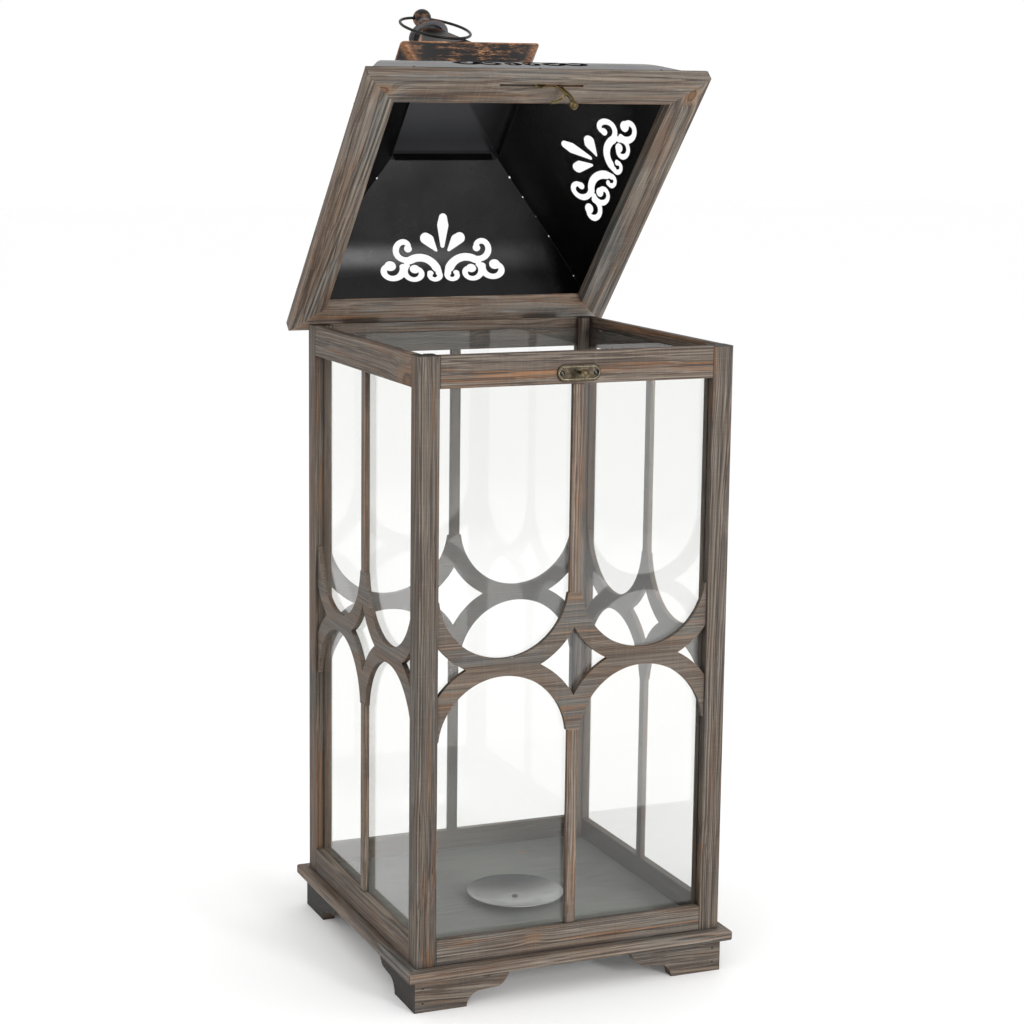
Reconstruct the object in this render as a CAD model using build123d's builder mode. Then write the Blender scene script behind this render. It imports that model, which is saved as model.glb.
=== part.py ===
"""Tall wood and glass candle lantern with a hinged, pierced metal roof.

Origin: centre of the footprint on the ground.  +X right, +Y back, +Z up.
The lid is modelled in its propped-open position.  All lengths are in mm.
"""
from build123d import *
from math import cos, radians, sin, sqrt
import os

os.makedirs("parts", exist_ok=True)

# ---------------------------------------------------------------- body sizes
body_half = 150.0          # outer faces of the posts
post = 19.3                # square post section
body_top = 583.7
base_top = 40.1            # top of the plinth, where posts and rails stand
top_rail_z = 555.0         # underside of the top rails
bottom_rail_z = 63.5       # top of the bottom rails
rail_inset = 0.3           # rail face behind the post face
rail_back = 8.0            # rail inner face, measured from the post face
edge = 0.8                 # worn edge radius on the wood
inner = body_half - post   # inner side faces of the posts

# pierced fret: arcs that meet at a waist in each bay
fret_mid_z = 306.4
fret_reach = 62.6          # half height of the fret
fret_depth = 2.7           # fret and mullion face behind the post face
fret_thick = 5.0
arc_rise = 69.6            # arc centres above and below the middle
arc_inner = 61.7
arc_outer = 78.0
mullion_w = 10.0
bay_x = (inner + mullion_w / 2) / 2
tenon = 3.8

# glass
glass_depth = 8.3
glass_thick = 2.5
glass_top = 573.7
groove = 4.0

# floor, plinth and feet
floor_thick = 3.4
plinth_half = 159.9
plinth_inner = 119.9
plinth_z = 29.7
foot_half = 151.9
foot_board = 12.0

# candle dish
dish_at = (3.0, -14.0)
dish_r = 46.5
dish_rise = 6.8
dish_wall = 0.8

# ---------------------------------------------------------------- lid sizes
open_angle = 46.8
hinge_y = 153.2
hinge_z = 580.9
lid_rest_z = 583.9         # underside of the closed lid
lid_half = 166.1
lid_member = 31.2
lid_thick = 11.9
lid_mid_y = -3.2

roof_base = 160.5
roof_bend = (130.5, 60.0)
roof_top = (57.5, 123.4)
sheet = 0.8
flange = 4.4

neck_half = 58.2
neck_base = 124.0
neck_top = 136.0
hood_top = 237.6
hood_top_half = 11.0
collar_z = (129.0, 133.5, 151.0)
collar_half = (59.2, 59.2, 71.4)

ball_z = 265.0
ball_r = 9.3
ring_r = 35.5
ring_wire = 1.4
ring_lean = 63.8           # how far the resting ring points down
ring_yaw = 4.6

hook_v = -156.2            # plane in which the hook swings
hook_eye = (-1.0, 3.3)
hook_eye_r = 6.0
hook_thick = 1.8

# ------------------------------------------------------------ shared planes
lid_frame = Location((0, hinge_y, hinge_z), (-open_angle, 0, 0)) * Location(
    (0, lid_mid_y - hinge_y, lid_rest_z - hinge_z)
)


def wall(k, depth=0.0):
    """Plane on wall k (0 front, 1 right, 2 rear, 3 left), `depth` behind the post face."""
    a = radians(90 * k)
    out = Vector(sin(a), -cos(a), 0)
    return Plane(origin=out * (body_half - depth), x_dir=(cos(a), sin(a), 0), z_dir=out)


def on_lid(x=0.0, v=0.0, w=0.0, turn=(0, 0, 0)):
    """Plane in the lid's own frame: x right, v back, w up from the underside."""
    return Plane(lid_frame * Location((x, v, w), turn))


def turned(k):
    return (0, 0, 90 * k)


def cap(radius, base, rise):
    """Spherical cap closing a turned profile: starts at (radius, base), ends on the axis."""
    sphere = (radius**2 + rise**2) / (2 * rise)
    middle = (sphere**2 - radius**2 / 4) ** 0.5 - (sphere - rise)
    ThreePointArc((radius, base), (radius / 2, base + middle), (0, base + rise))


def finish(built, name):
    built.part.label = name
    export_step(built.part, f"parts/{name}.step")


side_names = ("front", "right", "rear", "left")
corner_names = ("front_right", "rear_right", "rear_left", "front_left")


# ------------------------------------------------------------------- posts
for k, corner in enumerate(corner_names):
    with BuildPart() as corner_post:
        with BuildSketch(Plane.XY.offset(base_top).rotated(turned(k))):
            with Locations((inner + post / 2, -inner - post / 2)):
                Rectangle(post, post)
        extrude(amount=body_top - base_top)
        long_edges = corner_post.edges().filter_by(Axis.Z)
        fillet(long_edges, radius=edge)
        # glass grooves, open at the top so that the panes slide in
        for turn, flip in ((k, 1), (k + 1, -1)):
            with BuildSketch(wall(turn, glass_depth - 0.1)):
                with Locations((flip * (inner + groove / 2), (base_top + floor_thick + body_top) / 2)):
                    Rectangle(groove, body_top - base_top - floor_thick)
            extrude(amount=-(glass_thick + 0.2), mode=Mode.SUBTRACT)
            # mortises for the fret's tenons
            with BuildSketch(wall(turn, fret_depth - 0.05)):
                with Locations(
                    (flip * (inner + groove / 2), fret_mid_z + 43),
                    (flip * (inner + groove / 2), fret_mid_z - 43),
                ):
                    Rectangle(groove, 2 * (fret_reach - 43) + 0.4)
            extrude(amount=-(fret_thick + 0.1), mode=Mode.SUBTRACT)
    finish(corner_post, f"post_{corner}")

# ------------------------------------------------------------------- rails
latch_plate_x = -1.5
latch_plate_z = 564.6
latch_pin_z = 565.3
latch_screw_x = 16.0
hinge_x = 95.0
rail_brads = ((118.0, 578.0), (118.0, 568.0), (124.5, 51.6), (124.5, 45.0))

for k, side in enumerate(side_names):
    with BuildPart() as top_rail:
        with BuildSketch(wall(k, rail_inset)):
            with Locations((0, (top_rail_z + body_top) / 2)):
                Rectangle(2 * inner, body_top - top_rail_z)
        extrude(amount=-(rail_back - rail_inset))
        face_edges = top_rail.faces().sort_by(Axis(wall(k).origin, wall(k).z_dir))[-1].edges()
        fillet(face_edges.filter_by(Axis(wall(k).origin, wall(k).x_dir)), radius=edge)
        if side == "front":
            with Locations(wall(k, rail_inset)):
                with Locations((latch_plate_x, latch_pin_z)):
                    Hole(radius=1.7, depth=6.2)
                with Locations(
                    (latch_plate_x - latch_screw_x, latch_plate_z),
                    (latch_plate_x + latch_screw_x, latch_plate_z),
                ):
                    Hole(radius=1.2, depth=6.4)
        if side == "rear":
            with Locations(wall(k, rail_inset)):
                for x in (-hinge_x, hinge_x):
                    with Locations((x - 12, 567), (x + 12, 567)):
                        Hole(radius=1.3, depth=6.4)
        if side in ("left", "right"):
            flip = 1 if side == "right" else -1
            with Locations(wall(k, rail_inset)):
                with Locations(*[(flip * s, z) for s, z in rail_brads[:2]]):
                    Hole(radius=1.1, depth=6.4)
    finish(top_rail, f"top_rail_{side}")

    with BuildPart() as bottom_rail:
        with BuildSketch(wall(k, rail_inset)):
            with Locations((0, (base_top + bottom_rail_z) / 2)):
                Rectangle(2 * inner, bottom_rail_z - base_top)
        extrude(amount=-(rail_back - rail_inset))
        face_edges = bottom_rail.faces().sort_by(Axis(wall(k).origin, wall(k).z_dir))[-1].edges()
        fillet(face_edges.filter_by(Axis(wall(k).origin, wall(k).x_dir)), radius=edge)
        if side in ("left", "right"):
            flip = 1 if side == "right" else -1
            with Locations(wall(k, rail_inset)):
                with Locations(*[(flip * s, z) for s, z in rail_brads[2:]]):
                    Hole(radius=1.1, depth=6.4)
    finish(bottom_rail, f"bottom_rail_{side}")

# --------------------------------------------------- frets, mullions, glass
for k, side in enumerate(side_names):
    with BuildPart() as fret:
        with BuildSketch(wall(k, fret_depth)):
            with Locations(
                (bay_x, fret_mid_z + arc_rise),
                (bay_x, fret_mid_z - arc_rise),
                (-bay_x, fret_mid_z + arc_rise),
                (-bay_x, fret_mid_z - arc_rise),
            ):
                Circle(arc_outer)
            with Locations((0, fret_mid_z)):
                Rectangle(2 * (inner + tenon), 2 * fret_reach, mode=Mode.INTERSECT)
            with Locations(
                (bay_x, fret_mid_z + arc_rise),
                (bay_x, fret_mid_z - arc_rise),
                (-bay_x, fret_mid_z + arc_rise),
                (-bay_x, fret_mid_z - arc_rise),
            ):
                Circle(arc_inner, mode=Mode.SUBTRACT)
        extrude(amount=-fret_thick)
    finish(fret, f"fret_{side}")

    with BuildPart() as mullions:
        upper = (fret_mid_z + fret_reach, top_rail_z)
        lower = (bottom_rail_z, fret_mid_z - fret_reach)
        for low, high in (upper, lower):
            with BuildSketch(wall(k, fret_depth)):
                with Locations((0, (low + high) / 2)):
                    Rectangle(mullion_w, high - low)
            extrude(amount=-(rail_back - fret_depth))
        fillet(mullions.edges().filter_by(Axis.Z), radius=edge)
    finish(mullions, f"mullions_{side}")

    with BuildPart() as pane:
        low = base_top + floor_thick
        with BuildSketch(wall(k, glass_depth)):
            with Locations((0, (low + glass_top) / 2)):
                Rectangle(2 * (inner + tenon), glass_top - low)
        extrude(amount=-glass_thick)
    finish(pane, f"glass_{side}")

# ------------------------------------------------------------------- floor
floor_half = body_half - rail_back - 0.2
notch = floor_half - inner + 0.2
with BuildPart() as floor_panel:
    with BuildSketch(Plane.XY.offset(base_top)):
        Rectangle(2 * floor_half, 2 * floor_half)
        with GridLocations(2 * floor_half - notch, 2 * floor_half - notch, 2, 2):
            Rectangle(notch, notch, mode=Mode.SUBTRACT)
        with Locations(dish_at):
            Circle(1.6, mode=Mode.SUBTRACT)
    extrude(amount=floor_thick)
finish(floor_panel, "floor_panel")

# --------------------------------------------------------- mitred plinth
for k, side in enumerate(side_names):
    with BuildPart() as plinth:
        with BuildSketch(Plane.XY.offset(plinth_z).rotated(turned(k))):
            with BuildLine():
                Polyline(
                    (-plinth_half, -plinth_half),
                    (plinth_half, -plinth_half),
                    (plinth_inner, -plinth_inner),
                    (-plinth_inner, -plinth_inner),
                    close=True,
                )
            make_face()
        extrude(amount=base_top - plinth_z)
        outside = plinth.faces().sort_by(Axis(wall(k).origin, wall(k).z_dir))[-1]
        fillet(outside.edges().filter_by(Axis(wall(k).origin, wall(k).x_dir)), radius=2.6)
    finish(plinth, f"plinth_{side}")

# ------------------------------------------------------------ bracket feet
foot_long = 92.0
board_gap = 0.05
foot_brad = (8.0, (22.2, 8.4))   # distance from the corner, heights


def foot_outline(start):
    """Bracket profile: flat sole, cove, short shelf and upper curve; x runs from the corner."""
    Line((start, 0), (50, 0))
    ThreePointArc((50, 0), (53.4, 8.6), (62, 13.4))
    Line((62, 13.4), (81.5, 15.0))
    ThreePointArc((81.5, 15.0), (87.6, 20.4), (foot_long, plinth_z))
    Line((foot_long, plinth_z), (start, plinth_z))
    Line((start, plinth_z), (start, 0))


for sx, sy in ((-1, -1), (1, -1), (1, 1), (-1, 1)):
    corner = ("front_" if sy < 0 else "rear_") + ("left" if sx < 0 else "right")
    corner_at = (sx * foot_half, sy * foot_half, 0)
    # one board faces front or rear; the side board butts against its back
    face_plane = Plane(origin=corner_at, x_dir=(-sx, 0, 0), z_dir=(0, sx, 0))
    side_plane = Plane(origin=corner_at, x_dir=(0, -sy, 0), z_dir=(-sy, 0, 0))
    with BuildPart() as foot:
        with BuildSketch(face_plane):
            with BuildLine():
                foot_outline(0)
            make_face()
        extrude(amount=-sx * sy * foot_board)
        with BuildSketch(side_plane):
            with BuildLine():
                foot_outline(foot_board + board_gap)
            make_face()
        extrude(amount=sx * sy * foot_board)
        with BuildSketch(face_plane):
            with Locations(*[(foot_brad[0], z) for z in foot_brad[1]]):
                Circle(1.0)
        extrude(amount=-sx * sy * 26, mode=Mode.SUBTRACT)
    finish(foot, f"foot_{corner}")

# ------------------------------------------------------------------- brads
with BuildPart() as brads:
    for sx, sy in ((-1, -1), (1, -1), (1, 1), (-1, 1)):
        corner_edge = (sx * foot_half, sy * foot_half, 0)
        with BuildSketch(Plane(origin=corner_edge, x_dir=(-sx, 0, 0), z_dir=(0, sx, 0))):
            with Locations(*[(foot_brad[0], z) for z in foot_brad[1]]):
                Circle(1.0)
        extrude(amount=-sx * sy * 26)
    for k, flip in ((1, 1), (3, -1)):
        with BuildSketch(wall(k, rail_inset)):
            with Locations(*[(flip * s, z) for s, z in rail_brads]):
                Circle(1.1)
        extrude(amount=-6.4)
finish(brads, "brads")

# ------------------------------------------------------------- candle dish
with BuildPart() as dish:
    floor_z = base_top + floor_thick
    with BuildSketch(Plane(origin=(*dish_at, floor_z), x_dir=(1, 0, 0), z_dir=(0, -1, 0))):
        with BuildLine():
            Line((1.6, 0), (11, 0))
            ThreePointArc((11, 0), (30, 2.3), (dish_r - 0.6, dish_rise - dish_wall))
            ThreePointArc(
                (dish_r - 0.6, dish_rise - dish_wall),
                (dish_r, dish_rise - dish_wall / 2),
                (dish_r - 0.9, dish_rise),
            )
            ThreePointArc((dish_r - 0.9, dish_rise), (29.6, 2.3 + dish_wall), (11, dish_wall))
            Line((11, dish_wall), (1.6, dish_wall))
            Line((1.6, dish_wall), (1.6, 0))
        make_face()
    revolve(axis=Axis((*dish_at, 0), (0, 0, 1)))
finish(dish, "candle_dish")

with BuildPart() as dish_rivet:
    with BuildSketch(Plane(origin=(*dish_at, 0), x_dir=(1, 0, 0), z_dir=(0, -1, 0))):
        head_z = base_top + floor_thick + dish_wall
        with BuildLine():
            Polyline(
                (0, base_top - 1.2),
                (3.4, base_top - 1.2),
                (3.4, base_top),
                (1.55, base_top),
                (1.55, head_z),
            )
            Line((1.55, head_z), (3.2, head_z))
            cap(3.2, head_z, 2.0)
            Line((0, head_z + 2.0), (0, base_top - 1.2))
        make_face()
    revolve(axis=Axis((*dish_at, 0), (0, 0, 1)))
finish(dish_rivet, "dish_rivet")

# ------------------------------------------------------- latch on the body
rail_face = wall(0, rail_inset)
with BuildPart() as latch_plate:
    with BuildSketch(rail_face):
        with Locations((latch_plate_x, latch_plate_z)):
            SlotOverall(41.4, 14.6)
    extrude(amount=1.9)
    fillet(latch_plate.faces().sort_by(Axis((0, 0, 0), (0, -1, 0)))[-1].edges(), radius=0.7)
    with BuildSketch(rail_face.offset(1.0)):
        with Locations((latch_plate_x, latch_plate_z)):
            SlotOverall(37.6, 10.8)
    extrude(amount=2, mode=Mode.SUBTRACT)
    with Locations(rail_face.offset(2)):
        with Locations(*[(latch_plate_x + dx, latch_plate_z) for dx in (-latch_screw_x, latch_screw_x)]):
            Hole(radius=1.2)
        with Locations((latch_plate_x, latch_pin_z)):
            Hole(radius=1.7)
finish(latch_plate, "latch_plate")

pin_axis_plane = Plane(
    origin=(latch_plate_x, -body_half + rail_inset, latch_pin_z), x_dir=(0, 0, 1), z_dir=(1, 0, 0)
)
with BuildPart() as latch_pin:
    # profile runs along Y, out of the rail; y on this plane points to the front
    with BuildSketch(pin_axis_plane):
        with BuildLine():
            Polyline((0, -6), (1.7, -6), (1.7, 12.2), (3.4, 12.2))
            ThreePointArc((3.4, 12.2), (4.3, 13.3), (3.6, 14.6))
            cap(3.6, 14.6, 1.2)
            Line((0, 15.8), (0, -6))
        make_face()
    revolve(axis=Axis(pin_axis_plane.origin, (0, -1, 0)))
finish(latch_pin, "latch_pin")

with BuildPart() as latch_screws:
    for x in (latch_plate_x - latch_screw_x, latch_plate_x + latch_screw_x):
        screw_spot = (x, -body_half + rail_inset, latch_plate_z)
        screw_at = Plane(origin=screw_spot, x_dir=(0, 0, 1), z_dir=(1, 0, 0))
        with BuildSketch(screw_at):
            with BuildLine():
                Polyline((0, -6.2), (1.2, -6.2), (1.2, 1.0), (2.6, 1.0))
                cap(2.6, 1.0, 1.1)
                Line((0, 2.1), (0, -6.2))
            make_face()
        revolve(axis=Axis(screw_at.origin, (0, -1, 0)))
        slot_spot = (x, -body_half + rail_inset - 2.3, latch_plate_z)
        with BuildSketch(Plane(origin=slot_spot, z_dir=(0, -1, 0))):
            Rectangle(3.6, 0.6, rotation=35)
        extrude(amount=-0.7, mode=Mode.SUBTRACT)
finish(latch_screws, "latch_screws")

# ------------------------------------------------------------------ hinges
barrel_r = 2.7
pin_r = 1.4
leaf_half = 18.0
middle_half = 6.0          # the lid's knuckle sits between two body knuckles
gap = 0.3
rear_face = wall(2, rail_inset)
leaf_bottom = 556.0
leaf_thick = 1.5
hinge_screw_dx = 12.0


def cross_x(x, y=hinge_y, z=hinge_z):
    """Plane square to the X axis, local x to the back and local y up."""
    return Plane(origin=(x, y, z), x_dir=(0, 1, 0), z_dir=(1, 0, 0))


with BuildPart() as body_leaves:
    for hx in (-hinge_x, hinge_x):
        with BuildSketch(rear_face):
            with Locations((-hx, (leaf_bottom + hinge_z) / 2)):
                Rectangle(2 * leaf_half, hinge_z - leaf_bottom)
            with Locations((-hx, hinge_z)):
                Rectangle(2 * (middle_half + gap), 2 * (barrel_r + gap + 0.4), mode=Mode.SUBTRACT)
        extrude(amount=leaf_thick)
        for start in (-leaf_half, middle_half + gap):
            with BuildSketch(cross_x(hx + start)):
                Circle(barrel_r)
            extrude(amount=leaf_half - middle_half - gap)
        with BuildSketch(cross_x(hx - leaf_half)):
            Circle(pin_r)
        extrude(amount=2 * leaf_half, mode=Mode.SUBTRACT)
        with Locations(rear_face.offset(leaf_thick)):
            with Locations((-hx - hinge_screw_dx, 567), (-hx + hinge_screw_dx, 567)):
                CounterSinkHole(1.3, 2.5, depth=leaf_thick, counter_sink_angle=90)
finish(body_leaves, "hinge_body_leaves")

with BuildPart() as hinge_pins:
    for hx in (-hinge_x, hinge_x):
        with BuildSketch(cross_x(hx - leaf_half)):
            Circle(pin_r)
        extrude(amount=2 * leaf_half)
finish(hinge_pins, "hinge_pins")

with BuildPart() as body_screws:
    for hx in (-hinge_x, hinge_x):
        for dx in (-hinge_screw_dx, hinge_screw_dx):
            spot = (hx + dx, body_half - rail_inset + leaf_thick, 567)
            seat = Plane(origin=spot, x_dir=(0, 0, 1), z_dir=(-1, 0, 0))
            with BuildSketch(seat):
                with BuildLine():
                    Polyline((0, 0), (2.5, 0), (1.3, -1.2), (1.3, -7.8), (0, -7.8), close=True)
                make_face()
            revolve(axis=Axis(seat.origin, (0, 1, 0)))
finish(body_screws, "hinge_body_screws")

# --------------------------------------------------------------- lid frame
slot_half = 40.5
slot_front = -157.5
slot_back = -154.9
slot_deep = 9.8
tack_x = (-120.0, 0.0, 120.0)
tack_r = roof_base + 2.6
lid_screw_w = 6.0

for k, side in enumerate(side_names):
    with BuildPart() as lid_rail:
        with BuildSketch(on_lid(turn=turned(k))):
            with BuildLine():
                Polyline(
                    (-lid_half, -lid_half),
                    (lid_half, -lid_half),
                    (lid_half - lid_member, -lid_half + lid_member),
                    (-lid_half + lid_member, -lid_half + lid_member),
                    close=True,
                )
            make_face()
        extrude(amount=lid_thick)
        out = on_lid(turn=turned(k)).y_dir * -1
        outside = lid_rail.faces().sort_by(Axis(on_lid().origin, out))[-1]
        fillet(outside.edges().filter_by(Axis(on_lid().origin, on_lid(turn=turned(k)).x_dir)), radius=1.2)
        with BuildSketch(on_lid(w=lid_thick, turn=turned(k))):
            with Locations(*[(x, -tack_r) for x in tack_x]):
                Circle(0.8)
        extrude(amount=-6, mode=Mode.SUBTRACT)
        if side == "front":
            with BuildSketch(on_lid()):
                with Locations((0, (slot_front + slot_back) / 2)):
                    Rectangle(2 * slot_half, slot_back - slot_front)
            extrude(amount=slot_deep, mode=Mode.SUBTRACT)
            with BuildSketch(on_lid(hook_eye[0], -151, hook_eye[1], (90, 0, 0))):
                Circle(1.25)
            extrude(amount=11.5, mode=Mode.SUBTRACT)
        if side == "rear":
            with BuildSketch(on_lid(0, lid_half, lid_screw_w, (-90, 0, 0))):
                with Locations(*[(hx + dx, 0) for hx in (-hinge_x, hinge_x) for dx in (-12, 12)]):
                    Circle(1.3)
            extrude(amount=-9, mode=Mode.SUBTRACT)
    finish(lid_rail, f"lid_rail_{side}")

# --------------------------------------------------------------- lid hinge leaves
axis_v = hinge_y - lid_mid_y
axis_w = hinge_z - lid_rest_z
plate = 1.3


def cross_lid(x):
    """Plane square to the lid's x axis, local x to the back and local y up from the underside."""
    flat = on_lid(x)
    return Plane(origin=flat.origin, x_dir=flat.y_dir, z_dir=flat.x_dir)


with BuildPart() as lid_leaves:
    for hx in (-hinge_x, hinge_x):
        with BuildSketch(cross_lid(hx - middle_half)):
            with BuildLine():
                Polyline(
                    (axis_v, axis_w),
                    (lid_half + plate, axis_w + barrel_r - plate - 0.1),
                    (lid_half + plate, 0),
                    (axis_v, 0 - 0.3),
                    close=True,
                )
            make_face()
            with Locations((axis_v, axis_w)):
                Circle(barrel_r)
        extrude(amount=2 * middle_half)
        with BuildSketch(cross_lid(hx - leaf_half)):
            with Locations(((axis_v + barrel_r + gap + 0.2 + lid_half + plate) / 2, -plate / 2)):
                Rectangle(lid_half + plate - axis_v - barrel_r - gap - 0.2, plate)
            with Locations((lid_half + plate / 2, (10.4 - plate) / 2)):
                Rectangle(plate, 10.4 + plate)
        extrude(amount=2 * leaf_half)
        with BuildSketch(cross_lid(hx - middle_half)):
            with Locations((axis_v, axis_w)):
                Circle(pin_r + 0.05)
        extrude(amount=2 * middle_half, mode=Mode.SUBTRACT)
        with Locations(on_lid(0, lid_half + plate, lid_screw_w, (-90, 0, 0))):
            with Locations((hx - 12, 0), (hx + 12, 0)):
                CounterSinkHole(radius=1.3, counter_sink_radius=2.4, depth=plate, counter_sink_angle=90)
finish(lid_leaves, "hinge_lid_leaves")

with BuildPart() as lid_screws:
    for hx in (-hinge_x, hinge_x):
        for dx in (-12, 12):
            with BuildSketch(on_lid(hx + dx, lid_half + plate, lid_screw_w, (0, 0, 0))):
                with BuildLine():
                    Polyline((0, 0), (2.4, 0), (1.3, -1.1), (1.3, -10.2), (0, -10.2), close=True)
                make_face()
            revolve(axis=Axis(on_lid(hx + dx, lid_half + plate, lid_screw_w).origin, on_lid().y_dir))
finish(lid_screws, "hinge_lid_screws")

# --------------------------------------------------- pierced ornament pattern
pattern_top = 90.0
sheet_slope = 0.68         # height gained per unit length along the sheet


def across(x, t):
    """Point of the flat pattern: x sideways, t along the sheet from the ornament's top."""
    return (x, pattern_top + sheet_slope * t)


def scroll(centre, start, sweep, radii, halves, ball):
    """Tapered spiral stroke that ends in a ball."""
    outer, inside = [], []
    steps = 14
    for i in range(steps + 1):
        u = i / steps
        a = radians(start + sweep * u)
        r = radii[0] + (radii[1] - radii[0]) * u
        half = halves[0] + (halves[1] - halves[0]) * u
        outer.append(across(centre[0] + (r + half) * cos(a), centre[1] + (r + half) * sin(a)))
        inside.append(across(centre[0] + (r - half) * cos(a), centre[1] + (r - half) * sin(a)))
    with BuildSketch() as stroke:
        with BuildLine():
            Spline(*outer)
            Line(outer[-1], inside[-1])
            Spline(*reversed(inside))
            Line(inside[0], outer[0])
        make_face()
        for u, half in ((0, halves[0]), (1, ball)):
            a = radians(start + sweep * u)
            r = radii[0] + (radii[1] - radii[0]) * u
            with Locations(across(centre[0] + r * cos(a), centre[1] + r * sin(a))):
                Ellipse(half, half * sheet_slope)
    return stroke.sketch


def leaf(*balls):
    """Drop-shaped cut: the hull of round ends given as (x, t, radius)."""
    rim = []
    for i in range(48):
        a = radians(7.5 * i)
        x, t, r = max(balls, key=lambda ball: ball[0] * cos(a) + ball[1] * sin(a) + ball[2])
        rim.append(across(x + r * cos(a), t + r * sin(a)))
    with BuildSketch() as drop:
        Polygon(*rim, align=None)
    return drop.sketch


with BuildSketch() as ornament:
    add(leaf((-18.2, -25.4, 5.8), (-14.8, -27.2, 5.9), (-6.7, -37.6, 1.6)))
    add(scroll((-24.8, -63.7), 133, -133, (19.5, 20.0), (3.6, 3.5), 3.5))
    add(scroll((-24.8, -63.9), 122, -104, (18.4, 19.0), (4.3, 4.8), 4.4))
    add(scroll((-9.3, -66.0), 28, -240, (5.5, 5.3), (3.1, 2.8), 3.4))
    add(scroll((-29.8, -62.2), 135, 320, (12.0, 4.0), (3.3, 3.2), 5.4))
    add(scroll((-55.3, -58.7), 14, -278, (13.6, 4.6), (4.1, 3.3), 6.1))
    add(scroll((-40.0, -35.3), -75, -288, (12.6, 3.4), (3.7, 3.0), 4.2))
    mirror(about=Plane.YZ)
    add(leaf((0, -5.8, 4.4), (0, -13.0, 6.1), (0, -33.2, 2.2)))

# -------------------------------------------------------------- roof panels
tack_shank = 0.8
bend_r = 120.0             # soft bend across the panel
seam_gaps = ((28, 0.5), (42, 0.7), (73, 0.8), (86, 0.5), (99, 0.8), (112, 1.1))
upstand = 52.0             # half width of the lip folded up inside the neck


def lid_section(k):
    """Section through wall k of the lid, local x outward and local y up."""
    flat = on_lid(turn=turned(k))
    return Plane(origin=flat.origin, x_dir=-flat.y_dir, z_dir=-flat.x_dir)


def hip(w):
    """Half width of the roof at height w."""
    lower, upper = ((roof_base, lid_thick), roof_bend) if w < roof_bend[1] else (roof_bend, roof_top)
    return lower[0] + (w - lower[1]) * (upper[0] - lower[0]) / (upper[1] - lower[1])


def lid_face(k, depth):
    """Upright plane in front of wall k of the lid, normal outward."""
    return Plane(lid_frame * Location((0, 0, 0), turned(k)) * Location((0, -depth, 0), (90, 0, 0)))


for k, side in enumerate(side_names):
    with BuildPart() as panel:
        with BuildSketch(lid_section(k)):
            with BuildLine() as bend_line:
                Polyline(
                    (roof_base + flange, lid_thick + sheet / 2),
                    (roof_base, lid_thick + sheet / 2),
                    roof_bend,
                    roof_top,
                )
                fillet(bend_line.vertices().sort_by(Axis.X)[1], radius=bend_r)
                fillet(bend_line.vertices().sort_by(Axis.X)[-2], radius=1.2)
                offset(amount=sheet / 2, side=Side.BOTH)
            make_face()
        extrude(amount=lid_half, both=True)
        with BuildSketch(on_lid(turn=turned(k))):
            Polygon((0, -0.05), (-190, -190.05), (190, -190.05), align=None)
        extrude(amount=160, mode=Mode.INTERSECT)
        with BuildSketch(lid_section(k)):
            with Locations((neck_half - 1.5 * sheet, 126.6)):
                Rectangle(sheet, 8.8)
        extrude(amount=upstand, both=True)
        with BuildSketch(lid_face(k, 175)):
            add(ornament.sketch)
            for w, gap_r in seam_gaps:
                with Locations((-hip(w), w), (hip(w), w)):
                    Circle(gap_r)
        extrude(amount=-118, mode=Mode.SUBTRACT)
        with BuildSketch(on_lid(w=lid_thick, turn=turned(k))):
            with Locations(*[(x, -tack_r) for x in tack_x]):
                Circle(tack_shank)
        extrude(amount=2, mode=Mode.SUBTRACT)
    finish(panel, f"roof_panel_{side}")

with BuildPart() as tacks:
    for k in range(4):
        for x in tack_x:
            with BuildSketch(on_lid(w=lid_thick - 6, turn=turned(k))):
                with Locations((x, -tack_r)):
                    Circle(tack_shank)
            extrude(amount=6 + sheet)
            with BuildSketch(on_lid(w=lid_thick + sheet, turn=turned(k))):
                with Locations((x, -tack_r)):
                    Circle(2.0)
            extrude(amount=0.9)
finish(tacks, "roof_tacks")

# ------------------------------------------------------------ hood and collar
hood_wall = 0.8
hood_corner = 3.0
stud_r = 2.0
with BuildPart() as hood:
    with BuildSketch(on_lid(w=neck_base)):
        RectangleRounded(2 * neck_half, 2 * neck_half, hood_corner)
    extrude(amount=neck_top - neck_base)
    with BuildSketch(on_lid(w=neck_top)):
        RectangleRounded(2 * neck_half, 2 * neck_half, hood_corner)
    with BuildSketch(on_lid(w=hood_top)):
        RectangleRounded(2 * hood_top_half, 2 * hood_top_half, hood_corner)
    loft()
    with BuildSketch(on_lid(w=neck_base)):
        RectangleRounded(2 * (neck_half - hood_wall), 2 * (neck_half - hood_wall), hood_corner - hood_wall)
    extrude(amount=neck_top - neck_base, mode=Mode.SUBTRACT)
    with BuildSketch(on_lid(w=neck_top)):
        RectangleRounded(2 * (neck_half - hood_wall), 2 * (neck_half - hood_wall), hood_corner - hood_wall)
    with BuildSketch(on_lid(w=hood_top - hood_wall)):
        RectangleRounded(2 * hood_top_half - 1.0, 2 * hood_top_half - 1.0, hood_corner - hood_wall)
    loft(mode=Mode.SUBTRACT)
    with BuildSketch(on_lid(w=hood_top - 2)):
        Circle(stud_r)
    extrude(amount=4, mode=Mode.SUBTRACT)
finish(hood, "hood")

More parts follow.
